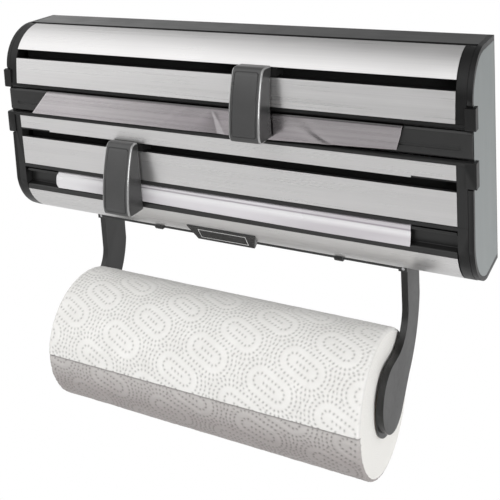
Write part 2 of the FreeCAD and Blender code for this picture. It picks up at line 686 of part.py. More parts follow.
def arm(name, sign):
    """Arm that widens into a round paddle beside the kitchen roll."""
    part = new_part(name + "_arm")
    paddle_y, paddle_drop, paddle_rad = size.paddle_y, size.paddle_drop, size.paddle_rad
    arm_top = size.height + 1.0
    profile(part, "strap", *span(sign, size.arm_in, size.arm_in + size.arm_thick), [
        (-4.1, arm_top), (-31.3, arm_top), (-31.5, 198.0), (-56.0, 221.3, 26.0, -1),
        (paddle_y, paddle_drop - paddle_rad),
        (paddle_y - paddle_rad, paddle_drop, paddle_rad, 1),
        (paddle_y, paddle_drop + paddle_rad, paddle_rad, 1),
        (-52.6, 264.6, 24.0, 1), (-35.0, 247.5), (-4.6, 199.0, 76.0, 1)])
    round_y(part, "pinhole", 1, -40.0, size.arm_pivot_x * sign, size.arm_pivot_drop,
            PIVOT_BORE, cut=True)


def holder_hub(name, sign):
    """Flange on the arm's inner face with a hollow stub into the roll core."""
    part = new_part(name + "_hub")
    axis = (size.paper_y, size.paper_drop)
    round_x(part, "flange", *span(sign, size.arm_in - 1.4, size.arm_in - 0.02), *axis, 22.4)
    round_x(part, "stub", *span(sign, 119.0, size.arm_in - 1.2), *axis,
            size.hub_rad, size.hub_rad - 2.0)


for name, sign in NAMED_SIDES:
    arm(name, sign)
    holder_hub(name, sign)

doc.recompute()

# ------------------------------------------------------------ check and write
bad = []
for obj in doc.Objects:
    state = [str(word) for word in obj.State]
    if "Invalid" in state or "Error" in state:
        bad.append("%s %s" % (obj.Name, state))
for part in parts:
    shape = part.Shape
    if shape.isNull() or not shape.isValid() or not shape.Solids or shape.Volume <= 0:
        bad.append("%s has a bad shape" % part.Label)
for obj in doc.Objects:
    if obj.TypeId == "PartDesign::Pocket" and obj.BaseFeature is not None:
        if obj.Shape.Volume > obj.BaseFeature.Shape.Volume - 1e-4:
            bad.append("%s removes nothing" % obj.Name)
if bad:
    raise RuntimeError("; ".join(bad))

os.makedirs("parts", exist_ok=True)
for part in parts:
    part.Shape.exportStep(os.path.join("parts", part.Label + ".step"))
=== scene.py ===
import bmesh
import bpy
import json
import math
import numpy as np
from mathutils import Matrix, Vector


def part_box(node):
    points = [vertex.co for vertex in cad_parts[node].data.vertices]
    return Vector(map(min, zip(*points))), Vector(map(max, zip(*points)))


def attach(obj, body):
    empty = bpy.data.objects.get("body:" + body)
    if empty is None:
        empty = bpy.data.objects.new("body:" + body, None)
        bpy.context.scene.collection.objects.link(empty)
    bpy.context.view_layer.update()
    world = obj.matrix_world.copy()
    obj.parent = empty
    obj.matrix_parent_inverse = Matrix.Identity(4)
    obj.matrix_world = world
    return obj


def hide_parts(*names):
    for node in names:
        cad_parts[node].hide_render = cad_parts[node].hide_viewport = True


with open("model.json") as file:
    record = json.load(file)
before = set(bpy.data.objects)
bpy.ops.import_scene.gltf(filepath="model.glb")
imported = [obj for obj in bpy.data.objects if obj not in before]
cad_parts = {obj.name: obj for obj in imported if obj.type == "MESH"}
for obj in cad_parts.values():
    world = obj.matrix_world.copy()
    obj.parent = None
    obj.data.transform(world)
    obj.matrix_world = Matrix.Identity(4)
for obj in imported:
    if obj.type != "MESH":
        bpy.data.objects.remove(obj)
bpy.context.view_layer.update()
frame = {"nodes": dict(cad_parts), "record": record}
TOP = 0.030          # housing top above the origin
MM = 0.001
rng = np.random.RandomState(7)


# ----------------------------------------------------------------- node helpers
def new_mat(name):
    m = bpy.data.materials.new(name)
    m.use_nodes = True
    nt = m.node_tree
    nt.nodes.clear()
    out = nt.nodes.new("ShaderNodeOutputMaterial")
    bs = nt.nodes.new("ShaderNodeBsdfPrincipled")
    nt.links.new(bs.outputs[0], out.inputs[0])
    return m, nt, bs


def coords(nt, scale, rot=(0, 0, 0)):
    tc = nt.nodes.new("ShaderNodeTexCoord")
    mp = nt.nodes.new("ShaderNodeMapping")
    mp.inputs["Scale"].default_value = scale
    mp.inputs["Rotation"].default_value = rot
    nt.links.new(tc.outputs["Object"], mp.inputs["Vector"])
    return mp.outputs[0]


def noise(nt, vec, scale=1.0, detail=3.0, rough=0.55, lac=2.0):
    n = nt.nodes.new("ShaderNodeTexNoise")
    n.inputs["Scale"].default_value = scale
    n.inputs["Detail"].default_value = detail
    n.inputs["Roughness"].default_value = rough
    n.inputs["Lacunarity"].default_value = lac
    nt.links.new(vec, n.inputs["Vector"])
    return n.outputs["Fac"]


def ranged(nt, val, a, b, c, d):
    r = nt.nodes.new("ShaderNodeMapRange")
    r.inputs["From Min"].default_value = a
    r.inputs["From Max"].default_value = b
    r.inputs["To Min"].default_value = c
    r.inputs["To Max"].default_value = d
    nt.links.new(val, r.inputs["Value"])
    return r.outputs[0]


def calc(nt, op, a, b=None, c=None):
    m = nt.nodes.new("ShaderNodeMath")
    m.operation = op
    for i, v in enumerate((a, b, c)):
        if v is None:
            continue
        if isinstance(v, (int, float)):
            m.inputs[i].default_value = v
        else:
            nt.links.new(v, m.inputs[i])
    return m.outputs[0]


def blend_rgb(nt, fac, ca, cb):
    x = nt.nodes.new("ShaderNodeMix")
    x.data_type = "RGBA"
    for key, v in ((0, fac), (6, ca), (7, cb)):
        if isinstance(v, (tuple, list)):
            x.inputs[key].default_value = (*v, 1.0) if len(v) == 3 else v
        elif isinstance(v, (int, float)):
            x.inputs[key].default_value = v
        else:
            nt.links.new(v, x.inputs[key])
    return x.outputs[2]


def bump(nt, bs, height, strength, dist, chain=None):
    b = nt.nodes.new("ShaderNodeBump")
    b.inputs["Strength"].default_value = strength
    b.inputs["Distance"].default_value = dist
    nt.links.new(height, b.inputs["Height"])
    if chain is not None:
        nt.links.new(chain, b.inputs["Normal"])
    nt.links.new(b.outputs[0], bs.inputs["Normal"])
    return b.outputs[0]


# -------------------------------------------------------------------- materials
def steel(name, tone, run="X", rough=0.27, streak=0.05, aniso=0.55):
    m, nt, bs = new_mat(name)
    fine = (7.0, 1500.0, 1500.0) if run == "X" else (1500.0, 1500.0, 9.0)
    wide = (2.0, 130.0, 130.0) if run == "X" else (130.0, 130.0, 3.0)
    hair = noise(nt, coords(nt, fine), 1.0, 4.0, 0.65)
    band = noise(nt, coords(nt, wide), 1.0, 2.0, 0.5)
    smear = noise(nt, coords(nt, (9.0, 14.0, 14.0)), 1.0, 3.0, 0.6)
    dark = tuple(c * (1.0 - streak * 2.2) for c in tone)
    lite = tuple(min(1.0, c * (1.0 + streak)) for c in tone)
    f = calc(nt, "ADD", calc(nt, "MULTIPLY", hair, 0.65), calc(nt, "MULTIPLY", band, 0.35))
    nt.links.new(blend_rgb(nt, ranged(nt, f, 0.32, 0.68, 0.0, 1.0), dark, lite), bs.inputs["Base Color"])
    bs.inputs["Metallic"].default_value = 0.94
    r = calc(nt, "ADD", ranged(nt, hair, 0.3, 0.7, rough - 0.06, rough + 0.08), ranged(nt, smear, 0.45, 0.75, 0.0, 0.07))
    nt.links.new(r, bs.inputs["Roughness"])
    bs.inputs["Anisotropic"].default_value = aniso
    geo = nt.nodes.new("ShaderNodeNewGeometry")
    cr = nt.nodes.new("ShaderNodeVectorMath")
    cr.operation = "CROSS_PRODUCT"
    nt.links.new(geo.outputs["Normal"], cr.inputs[0])
    cr.inputs[1].default_value = (1, 0, 0) if run == "X" else (0, 0, 1)
    nt.links.new(cr.outputs[0], bs.inputs["Tangent"])
    bump(nt, bs, hair, 0.22, 0.00004)
    return m


def plastic(name, tone, rough=0.42, grain=0.35, spec=0.5, grain_scale=2600.0, wear=0.012):
    m, nt, bs = new_mat(name)
    g = noise(nt, coords(nt, (grain_scale,) * 3), 1.0, 2.0, 0.5)
    cloud = noise(nt, coords(nt, (24.0, 24.0, 24.0)), 1.0, 4.0, 0.6)
    rub = noise(nt, coords(nt, (16.0, 260.0, 260.0)), 1.0, 3.0, 0.6)
    lite = tuple(c + wear for c in tone)
    dark = tuple(c * 0.86 for c in tone)
    col = blend_rgb(nt, ranged(nt, cloud, 0.35, 0.7, 0.0, 1.0), dark, lite)
    geo = nt.nodes.new("ShaderNodeNewGeometry")
    edge = ranged(nt, geo.outputs["Pointiness"], 0.53, 0.62, 0.0, 0.6)
    worn = tuple(c * 1.5 + 0.02 for c in tone)
    nt.links.new(blend_rgb(nt, edge, col, worn), bs.inputs["Base Color"])
    r = calc(nt, "ADD", ranged(nt, cloud, 0.3, 0.75, rough - 0.05, rough + 0.06), ranged(nt, rub, 0.5, 0.75, 0.0, 0.05))
    nt.links.new(r, bs.inputs["Roughness"])
    bs.inputs["Specular IOR Level"].default_value = spec
    bump(nt, bs, g, grain, 0.00005)
    return m


def badge_outline(m, zc, hx, hz):
    """A thin pale frame line printed on the plain plate."""
    nt = m.node_tree
    bs = next(n for n in nt.nodes if n.type == "BSDF_PRINCIPLED")
    src = bs.inputs["Base Color"].links[0].from_socket
    tc_ = nt.nodes.new("ShaderNodeTexCoord")
    sp = nt.nodes.new("ShaderNodeSeparateXYZ")
    nt.links.new(tc_.outputs["Object"], sp.inputs[0])
    dx = calc(nt, "SUBTRACT", calc(nt, "ABSOLUTE", sp.outputs[0]), hx)
    dz = calc(nt, "SUBTRACT", calc(nt, "ABSOLUTE", calc(nt, "SUBTRACT", sp.outputs[2], zc)), hz)
    mx_ = calc(nt, "MAXIMUM", dx, dz)
    line = calc(nt, "LESS_THAN", calc(nt, "ABSOLUTE", mx_), 0.00028)
    frontf = calc(nt, "LESS_THAN", sp.outputs[1], -0.0515)
    nt.links.new(blend_rgb(nt, calc(nt, "MULTIPLY", line, frontf), src, (0.62, 0.62, 0.62)), bs.inputs["Base Color"])
    return m


def rim_gloss_and_painted_highlight(m):
    """Polished long edges: a clear, hard gloss where the mesh carries the rim weight, and a painted highlight that
    lightens the base colour there.
    """
    nt = m.node_tree
    bs = next(n for n in nt.nodes if n.type == "BSDF_PRINCIPLED")
    at = nt.nodes.new("ShaderNodeAttribute")
    at.attribute_name = "rim"
    nt.links.new(at.outputs["Fac"], bs.inputs["Coat Weight"])
    seam = nt.nodes.new("ShaderNodeAttribute")
    seam.attribute_name = "seam"
    src = bs.inputs["Base Color"].links[0].from_socket
    # painted highlight: the base colour turns light grey along the rim edges
    c = blend_rgb(nt, at.outputs["Fac"], src, (0.17, 0.17, 0.17))
    nt.links.new(blend_rgb(nt, calc(nt, "MULTIPLY", seam.outputs["Fac"], 0.85), c, (0.006, 0.006, 0.006)), bs.inputs["Base Color"])
    bs.inputs["Coat Roughness"].default_value = 0.10
    bs.inputs["Coat IOR"].default_value = 2.1
    return m


def paper_mat(name):
    m, nt, bs = new_mat(name)
    at = nt.nodes.new("ShaderNodeAttribute")
    at.attribute_name = "pit"
    lw = nt.nodes.new("ShaderNodeAttribute")
    lw.attribute_name = "low"
    fib = noise(nt, coords(nt, (1400.0,) * 3), 1.0, 4.0, 0.7)
    mott = noise(nt, coords(nt, (60.0,) * 3), 1.0, 3.0, 0.5)
    base = blend_rgb(nt, ranged(nt, mott, 0.3, 0.7, 0.0, 1.0), (0.612, 0.604, 0.586), (0.66, 0.653, 0.636))
    # painted shade: a darker pink-grey tint on the older layer below the free edge
    base = blend_rgb(nt, lw.outputs["Fac"], base, (0.225, 0.198, 0.192))
    # painted shade: where the pit weight is set the paper colour is darkened halfway to black, in the pits and on the
    # line past the free edge
    col = blend_rgb(nt, at.outputs["Fac"], base, blend_rgb(nt, 0.50, base, (0.0, 0.0, 0.0)))
    nt.links.new(col, bs.inputs["Base Color"])
    bs.inputs["Roughness"].default_value = 0.95
    bs.inputs["Specular IOR Level"].default_value = 0.15
    bs.inputs["Sheen Weight"].default_value = 0.12
    bs.inputs["Subsurface Weight"].default_value = 0.0
    b1 = bump(nt, bs, fib, 0.35, 0.00008)
    crepe = noise(nt, coords(nt, (170.0, 520.0, 520.0)), 1.0, 3.0, 0.6)
    bump(nt, bs, calc(nt, "MULTIPLY", crepe, calc(nt, "ADD", calc(nt, "MULTIPLY", lw.outputs["Fac"], 1.2), 0.25)), 0.35, 0.0006, b1)
    return m


def paper_end_mat(name):
    m, nt, bs = new_mat(name)
    tc = nt.nodes.new("ShaderNodeTexCoord")
    sep = nt.nodes.new("ShaderNodeSeparateXYZ")
    nt.links.new(tc.outputs["Object"], sep.inputs[0])
    dy = calc(nt, "SUBTRACT", sep.outputs[1], PAPER_Y)
    dz = calc(nt, "SUBTRACT", sep.outputs[2], PAPER_Z)
    rad = calc(nt, "SQRT", calc(nt, "ADD", calc(nt, "MULTIPLY", dy, dy), calc(nt, "MULTIPLY", dz, dz)))
    wob = noise(nt, coords(nt, (90.0,) * 3), 1.0, 3.0, 0.6)
    ply = calc(nt, "SINE", calc(nt, "ADD", calc(nt, "MULTIPLY", rad, 2 * math.pi / 0.0011), calc(nt, "MULTIPLY", wob, 7.0)))
    fib = noise(nt, coords(nt, (900.0,) * 3), 1.0, 4.0, 0.7)
    f = calc(nt, "ADD", calc(nt, "MULTIPLY", ply, 0.22), fib)
    nt.links.new(blend_rgb(nt, ranged(nt, f, 0.2, 0.85, 0.0, 1.0), (0.655, 0.64, 0.61), (0.78, 0.775, 0.755)), bs.inputs["Base Color"])
    bs.inputs["Roughness"].default_value = 0.95
    bs.inputs["Specular IOR Level"].default_value = 0.15
    bump(nt, bs, f, 0.5, 0.0002)
    return m


def foil_mat(name, rough=0.3, tone=(0.72, 0.69, 0.70), web=False):
    m, nt, bs = new_mat(name)
    roll = noise(nt, coords(nt, (3.0, 420.0, 420.0)), 1.0, 3.0, 0.6)
    crink = noise(nt, coords(nt, (45.0, 120.0, 120.0)), 1.0, 4.0, 0.6)
    tint = noise(nt, coords(nt, (9.0, 20.0, 30.0)), 1.0, 2.0, 0.5)
    c = blend_rgb(nt, ranged(nt, tint, 0.35, 0.65, 0.0, 1.0), tone, (tone[0] * 0.98, tone[1] * 0.93, tone[2] * 0.97))
    c = blend_rgb(nt, ranged(nt, roll, 0.3, 0.7, 0.0, 1.0), c, (0.56, 0.525, 0.54))
    if web:
        # painted reflection: the free end is painted darker away from its left corner; painted shade makes it dark
        # where it leaves the cover lip
        tcc = nt.nodes.new("ShaderNodeTexCoord")
        sp = nt.nodes.new("ShaderNodeSeparateXYZ")
        nt.links.new(tcc.outputs["Object"], sp.inputs[0])
        # painted reflection: darker towards the right
        c = blend_rgb(nt, ranged(nt, sp.outputs[0], -0.125, -0.015, 0.0, 0.42), c, (0.06, 0.05, 0.055))
        # painted shade on the left face of the tent crease, painted highlight on its right face
        fold = []
        for key in ("dull", "lit"):
            an = nt.nodes.new("ShaderNodeAttribute")
            an.attribute_name = key
            fold.append(an.outputs["Fac"])
        c = blend_rgb(nt, calc(nt, "MULTIPLY", fold[0], 0.75), c, (0.10, 0.09, 0.095))
        c = blend_rgb(nt, calc(nt, "MULTIPLY", fold[1], 0.38), c, (0.72, 0.70, 0.71))
        # painted shade along the top bend, where the foil leaves the cover lip
        c = blend_rgb(nt, ranged(nt, sp.outputs[2], TOP - 0.0508, TOP - 0.0494, 0.0, 0.85), c, (0.03, 0.03, 0.03))
    nt.links.new(c, bs.inputs["Base Color"])
    bs.inputs["Metallic"].default_value = 1.0
    nt.links.new(ranged(nt, roll, 0.3, 0.7, rough - 0.05, rough + 0.08), bs.inputs["Roughness"])
    b1 = bump(nt, bs, roll, 0.15, 0.00004)
    bump(nt, bs, crink, 0.25, 0.0002, b1)
    return m


def film_mat(name, web=False):
    m, nt, bs = new_mat(name)
    rip = noise(nt, coords(nt, (4.0, 160.0, 160.0)), 1.0, 2.0, 0.5)
    cl = noise(nt, coords(nt, (7.0, 40.0, 40.0)), 1.0, 2.0, 0.5)
    c = blend_rgb(nt, ranged(nt, cl, 0.35, 0.7, 0.0, 1.0), (0.42, 0.40, 0.42), (0.53, 0.515, 0.535))
    if web:
        # painted shade and painted highlight: a grey line just below the lip, then a white band
        tcc = nt.nodes.new("ShaderNodeTexCoord")
        sp = nt.nodes.new("ShaderNodeSeparateXYZ")
        nt.links.new(tcc.outputs["Object"], sp.inputs[0])
        zd = calc(nt, "SUBTRACT", calc(nt, "MULTIPLY", calc(nt, "SUBTRACT", TOP, sp.outputs[2]), 1000.0), calc(nt, "MULTIPLY", sp.outputs[0], 6.0))
        highlight_band = calc(nt, "MULTIPLY", ranged(nt, zd, 120.6, 121.8, 0.0, 1.0), ranged(nt, zd, 123.5, 126.5, 1.0, 0.0))
        shade_line = calc(nt, "MULTIPLY", ranged(nt, zd, 119.4, 120.2, 0.0, 1.0), ranged(nt, zd, 120.6, 121.2, 1.0, 0.0))
        c = blend_rgb(nt, calc(nt, "MULTIPLY", highlight_band, 0.8), c, (0.62, 0.615, 0.625))
        c = blend_rgb(nt, calc(nt, "MULTIPLY", shade_line, 0.75), c, (0.20, 0.18, 0.20))
        # painted light: the left end is painted lighter, where the light falls
        c = blend_rgb(nt, ranged(nt, sp.outputs[0], -0.130, -0.085, 0.75, 0.0), c, (0.60, 0.595, 0.605))
    nt.links.new(c, bs.inputs["Base Color"])
    nt.links.new(ranged(nt, cl, 0.3, 0.7, 0.22, 0.32), bs.inputs["Roughness"])
    bs.inputs["Specular IOR Level"].default_value = 0.6
    bs.inputs["Coat Weight"].default_value = 0.25
    bs.inputs["Coat Roughness"].default_value = 0.16
    bump(nt, bs, rip, 0.06, 0.0001)
    return m


def board_mat(name):
    m, nt, bs = new_mat(name)
    fib = noise(nt, coords(nt, (700.0, 90.0, 90.0)), 1.0, 4.0, 0.7)
    nt.links.new(blend_rgb(nt, fib, (0.40, 0.31, 0.215), (0.60, 0.50, 0.38)), bs.inputs["Base Color"])
    bs.inputs["Roughness"].default_value = 0.9
    bump(nt, bs, fib, 0.4, 0.0001)
    return m


NODES = frame["nodes"]
lo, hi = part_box("paper_roll")
PAPER_Y = (lo.y + hi.y) / 2
PAPER_Z = (lo.z + hi.z) / 2
PAPER_R = (hi.z - lo.z) / 2
PAPER_H = (hi.x - lo.x) / 2

MATS = {
    "dark_plastic": plastic("dark_plastic", (0.0105, 0.0105, 0.0103), 0.32, 0.16, 0.46, wear=0.002),
    "black_plastic": plastic("black_plastic", (0.0015, 0.0015, 0.0015), 0.8, 0.2, 0.05, wear=0.0004),
    "slider_plastic": rim_gloss_and_painted_highlight(plastic("slider_plastic", (0.037, 0.037, 0.037), 0.30, 0.12, 0.5, wear=0.006)),
    "badge": badge_outline(plastic("badge_black", (0.008, 0.008, 0.008), 0.26, 0.10, 0.5, wear=0.002), TOP - 0.1548, 0.0205, 0.0042),
    "brushed_steel": steel("brushed_steel", (0.665, 0.657, 0.655), "X", 0.30, 0.035, 0.85),
    "cheek_steel": steel("cheek_steel", (0.345, 0.37, 0.37), "Z", 0.33, 0.03, 0.7),
    "pin_steel": steel("pin_steel", (0.5, 0.5, 0.51), "X", 0.25),
    "foil": foil_mat("foil"),
    "film": film_mat("film"),
    "cardboard": board_mat("cardboard"),
    "kitchen_paper": paper_mat("kitchen_paper"),
}
PAPER_END = paper_end_mat("kitchen_paper_end")

SLOT = {s["node"]: s["material_slot"] for s in frame["record"]["subparts"]}
BEVEL = {
    "left_arm": 0.9, "right_arm": 0.9, "upper_slider_grip": 0.5, "lower_slider_grip": 0.5,
    "upper_slider_cap": 0.25, "lower_slider_cap": 0.25, "badge_plate": 0.35, "holder_bar": 0.5,
    "back_shell": 0.5, "left_cheek": 0.45, "right_cheek": 0.45, "upper_cover_frame": 0.4,
    "lower_cover_frame": 0.4, "middle_strip": 0.35, "apron": 0.35, "left_hub": 0.4, "right_hub": 0.4,
    "skin_catches": 0.3,
}
THIN = {"upper_skin_top", "upper_skin_front", "lower_skin_strip", "lower_skin_front", "bottom_skin", "left_cheek_skin", "right_cheek_skin"}


def dress(o, width, seg=3):
    w = o.modifiers.new("weld", "WELD")
    w.merge_threshold = 0.000004
    d = o.modifiers.new("flat", "DECIMATE")
    d.decimate_type = "DISSOLVE"
    d.angle_limit = math.radians(0.4)
    b = o.modifiers.new("edge", "BEVEL")
    b.width = width * MM
    b.segments = seg
    b.limit_method = "ANGLE"
    b.angle_limit = math.radians(28)
    b.miter_outer = "MITER_ARC"
    b.use_clamp_overlap = True
    n = o.modifiers.new("normals", "WEIGHTED_NORMAL")
    n.weight = 60
    n.keep_sharp = False
    for p in o.data.polygons:
        p.use_smooth = True


# painted shade: the cover frames and cheeks get a darker, less glossy copy of the dark plastic than the shell and the
# holder
FRAME_SHADED = plastic("frame_plastic_shaded", (0.0040, 0.0040, 0.0040), 0.36, 0.16, 0.26, wear=0.0012)
SHADED_FRAME_NODES = {"upper_cover_frame", "lower_cover_frame", "left_cheek", "right_cheek"}

for node, o in NODES.items():
    o.data.materials.clear()
    # painted shade: the frames and cheeks take the darker copy
    o.data.materials.append(FRAME_SHADED if node in SHADED_FRAME_NODES else MATS[SLOT[node]])
    if node in THIN:
        dress(o, 0.14, 2)
    elif node in BEVEL:
        dress(o, BEVEL[node])


# ------------------------------------------------------------------ mesh builder
def mesh_from(name, verts, faces, mats, body, stands_for=(), face_mat=None, attrs=None, smooth=True):
    me = bpy.data.meshes.new(name)
    me.from_pydata([tuple(v) for v in verts], [], [tuple(f) for f in faces])
    me.update()
    for m in mats:
        me.materials.append(m)
    if face_mat is not None:
        me.polygons.foreach_set("material_index", np.asarray(face_mat, np.int32))
    me.polygons.foreach_set("use_smooth", np.full(len(me.polygons), smooth))
    for k, arr in (attrs or {}).items():
        a = me.attributes.new(k, "FLOAT", "POINT")
        a.data.foreach_set("value", np.asarray(arr, np.float32))
    o = bpy.data.objects.new(name, me)
    bpy.context.scene.collection.objects.link(o)
    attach(o, body)
    if stands_for:
        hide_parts(*stands_for)
    return o


def grid_faces(nu, nv, wrap_v=False, base=0):
    """Quads of a grid whose vertex (i, j) is base + i*nv + j."""
    i = np.arange(nu - 1)
    j = np.arange(nv if wrap_v else nv - 1)
    I, J = np.meshgrid(i, j, indexing="ij")
    J2 = (J + 1) % nv
    a = base + I * nv + J
    b = base + (I + 1) * nv + J
    c = base + (I + 1) * nv + J2
    d = base + I * nv + J2
    return np.stack([a, b, c, d], -1).reshape(-1, 4)


def smooth_noise(u, v, seed, n=14, lo=0.5, hi=3.0):
    r = np.random.RandomState(seed)
    out = np.zeros_like(u)
    for _ in range(n):
        k = r.uniform(lo, hi)
        t = r.uniform(0, 2 * math.pi)
        out += np.sin(u * k * math.cos(t) + v * k * math.sin(t) + r.uniform(0, 6.28)) / n ** 0.5
    return out


# ---------------------------------------------------------- embossed paper roll
def paper_roll():
    step = 0.58
    R = PAPER_R / MM
    Hh = PAPER_H / MM
    nu = int(2 * Hh / step)
    nv = int(2 * math.pi * R / step)
    edge_r = 2.2
    x = np.linspace(-Hh, Hh, nu)
    th = np.arange(nv) / nv * 2 * math.pi
    U, T = np.meshgrid(x, th, indexing="ij")
    Vv = T * R
    # lattice of slanted oval motifs on the outer sheet, counted back from its free edge
    circ = 2 * math.pi * R
    free = math.radians(FREE_EDGE)
    turn = ((T - free) % (2 * math.pi)) / (2 * math.pi)
    Vv = R * (free - (1.0 - turn) * 2 * math.pi)
    ca, cb = np.array([-21.2, 18.7]), np.array([52.6, 12.8])
    c0 = np.array([-42.5, R * math.radians(124.6)])
    e1 = np.array([math.cos(math.radians(24)), math.sin(math.radians(24))])
    e2 = np.array([-e1[1], e1[0]])
    SEG = 8.0
    rho = np.full(U.shape, 1e9)
    p1 = np.zeros_like(U)
    p2 = np.zeros_like(U)
    for i in range(-32, 33):
        for j in range(-14, 15):
            c = c0 + i * ca + j * cb
            if abs(c[0]) > Hh + 32 or c[1] > Vv.max() + 32 or c[1] < Vv.min() - 32:
                continue
            a = U - c[0]
            b = Vv - c[1]
            near = (np.abs(a) < 34) & (np.abs(b) < 30)
            q1 = a * e1[0] + b * e1[1]
            q2 = a * e2[0] + b * e2[1]
            q = np.hypot(np.maximum(np.abs(q1) - SEG, 0.0), q2)
            m = near & (q < rho)
            rho = np.where(m, q, rho)
            p1 = np.where(m, q1, p1)
            p2 = np.where(m, q2, p2)
    # arc length round each oval, from the middle of its upper straight
    capd = np.abs(p1) - SEG
    ang = np.arctan2(np.maximum(capd, 0.0), np.abs(p2) + 1e-9)
    pit = np.zeros_like(U)

    def dot(du_, dv_, su=0.62, sv=0.88):
        return np.exp(-(du_ / su) ** 2 - (dv_ / sv) ** 2)

    for k in range(-2, 2):
        t = (k + 0.5) * 3.15
        d1, d2 = p1 - t, p2
        pit = np.maximum(pit, dot(d1 * e1[0] - d2 * e1[1], d1 * e1[1] + d2 * e1[0]))
    for k, rr in enumerate([4.8, 10.9, 14.1, 17.4, 20.7, 24.0, 27.3]):
        per = 4 * SEG + 2 * math.pi * rr
        cnt = 2 * max(4, int(round(per / 3.12 / 2)))
        quarter = np.where(capd > 0, SEG + rr * ang, np.abs(p1))
        quarter_len = SEG + rr * math.pi / 2
        arc = np.where(p2 >= 0, np.where(p1 >= 0, quarter, 4 * quarter_len - quarter),
                       np.where(p1 >= 0, 2 * quarter_len - quarter, 2 * quarter_len + quarter))
        st = arc / per * cnt + (0.5 if k % 2 else 0.0)
        fs = (st - np.round(st)) * per / cnt
        dr = rho - rr
        # local frame of the oval: outward normal and tangent
        nx = np.where(capd > 0, np.sign(p1) * np.maximum(capd, 0) / np.maximum(rho, 1e-6), 0.0)
        ny = np.where(capd > 0, p2 / np.maximum(rho, 1e-6), np.sign(p2))
        d1 = nx * dr - ny * fs
        d2 = ny * dr + nx * fs
        g = dot(d1 * e1[0] - d2 * e1[1], d1 * e1[1] + d2 * e1[0])
        pit = np.maximum(pit, np.where(np.abs(dr) < 2.6, g, 0.0))
    puff = np.exp(-((rho - 7.8) / 1.6) ** 2) * 0.10 + np.exp(-((rho - 12.5) / 0.8) ** 2) * 0.05
    lumps = smooth_noise(U / 38.0, np.cos(T) * 1.6, 3) * 0.16 + smooth_noise(U / 20.0, np.sin(T) * 3.0, 5) * 0.10
    # wound sheet: the free edge stands one sheet proud of the layer below it
    spiral = -0.85 * (1.0 - turn)
    lip = np.exp(-((1.0 - turn) * circ / 2.2) ** 2) * 0.16
    older = np.clip(1.6 - turn * circ / 45.0, 0, 1)      # the layer just below the free edge is puffed up more
    ruffle = smooth_noise(U / 2.6, Vv / 2.0, 17, 18, 0.6, 2.2) * 0.10 * older
    rad = R - 0.42 + spiral + lip + puff * (0.8 + 1.6 * older) - pit * (0.72 + 0.3 * older) + lumps * 0.6 + ruffle
    endf = Hh - np.abs(U)
    rnd = np.where(endf < edge_r, edge_r - np.sqrt(np.maximum(edge_r ** 2 - (edge_r - endf) ** 2, 0)), 0)
    rad = rad - rnd
    fade = np.clip(endf / 3.0, 0, 1)
    # painted shade: the pit weight darkens the paper colour in the pits
    pit_shade_attr = np.clip(pit * 0.95 * fade, 0, 1)
    # painted shadow: a dark line on the layer just past the free edge, in the same pit weight
    under = np.exp(-(turn * circ / 1.1) ** 2)
    pit_shade_attr = np.maximum(pit_shade_attr, under * 0.9)
    # painted shade weight for the older layer below the free edge; it also strengthens the crepe bump there
    low_shade_and_crepe = np.clip(0.62 + turn * circ / 60.0, 0, 1) * np.clip(2.2 - turn * circ / 75.0, 0, 1)
    X = U
    Y = PAPER_Y / MM + rad * np.cos(T)
    Z = PAPER_Z / MM + rad * np.sin(T)
    outer = np.stack([X, Y, Z], -1).reshape(-1, 3)
    faces = [grid_faces(nu, nv, True)[:, ::-1]]
    verts = [outer]
    attr = [pit_shade_attr.reshape(-1)]
    lows = [(low_shade_and_crepe * 0.8).reshape(-1)]
    fm = [np.zeros(len(faces[0]), np.int32)]
    base = len(outer)
    # end faces: rings inward to the core, with faint ply ridges
    core = 21.45
    nr = 26
    for side in (0, 1):
        edge_idx = np.arange(nv) + (0 if side == 0 else (nu - 1) * nv)
        r_edge = rad[0 if side == 0 else nu - 1]
        sgn = -1 if side == 0 else 1
        rows = []
        for k in range(1, nr + 1):
            f = k / nr
            rr = r_edge * (1 - f) + core * f
            wav = 0.10 * np.sin(rr * 2 * math.pi / 2.3 + th) + 0.16 * smooth_noise(rr / 9.0, th * 2, 11 + side, 8) - 0.10
            xx = np.full(nv, sgn * Hh) - sgn * np.abs(wav) * (0.9 if k < nr else 0)
            rows.append(np.stack([xx, PAPER_Y / MM + rr * np.cos(th), PAPER_Z / MM + rr * np.sin(th)], -1))
        pts = np.concatenate(rows)
        verts.append(pts)
        attr.append(np.zeros(len(pts)))
        lows.append(np.zeros(len(pts)))
        j = np.arange(nv)
        j2 = (j + 1) % nv
        prev = edge_idx
        for k in range(nr):
            cur = base + k * nv + j
            q = np.stack([prev[j], cur, base + k * nv + j2, prev[j2]], -1)
            faces.append(q if side == 0 else q[:, ::-1])
            fm.append(np.ones(nv, np.int32))
            prev = cur
        if side == 0:
            in0 = prev.copy()
        else:
            in1 = prev.copy()
        base += len(pts)
    j = np.arange(nv)
    j2 = (j + 1) % nv
    faces.append(np.stack([in0[j], in1[j], in1[j2], in0[j2]], -1))
    fm.append(np.ones(nv, np.int32))
    V3 = np.concatenate(verts) * MM
    F = np.concatenate(faces)
    o = mesh_from("kitchen_paper_roll", V3, F, [MATS["kitchen_paper"], PAPER_END], "paper_spool",
                  ("paper_roll",), np.concatenate(fm), {"pit": np.concatenate(attr), "low": np.concatenate(lows)})
    return o


FREE_EDGE = 173.5
paper_roll()


